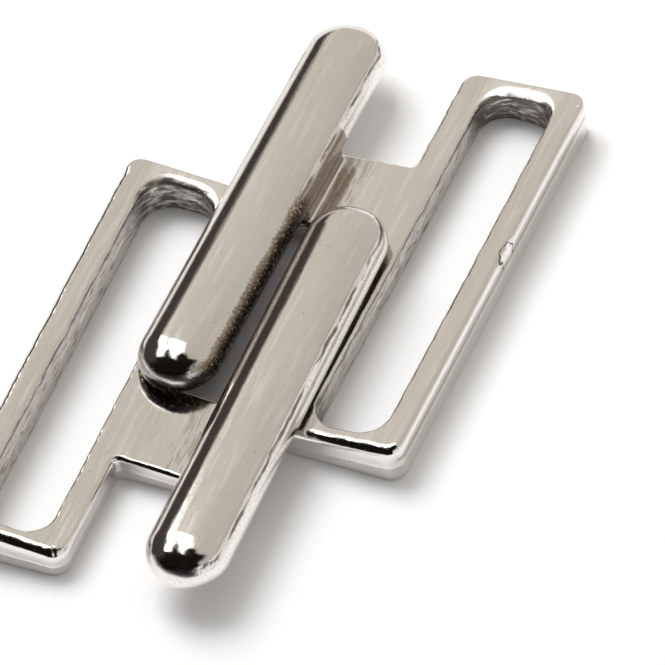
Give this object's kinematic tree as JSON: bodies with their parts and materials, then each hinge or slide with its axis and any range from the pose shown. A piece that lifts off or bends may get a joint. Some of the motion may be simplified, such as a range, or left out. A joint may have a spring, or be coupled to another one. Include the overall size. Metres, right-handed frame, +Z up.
{
  "type": "bikini clasp",
  "caption": "Fastened nickel-plated clasp of interlocking halves, each a slotted strap frame with a neck and a domed hook bar, lying flat.",
  "frame": {"origin": "middle of the bounding box, on the surface the clasp lies on", "axes": "+X across the clasp from the left strap to the right strap, +Y along the hook bars and slots, +Z up from the surface"},
  "size_m": [0.0224, 0.0394, 0.0041],
  "materials": {
    "right_half_nickel": "polished nickel plate, a little worn",
    "left_half_nickel": "polished nickel plate, a little worn"
  },
  "bodies": {
    "root": {"right_half": "right_half_nickel", "left_half": "left_half_nickel"}
  },
  "joints": []
}
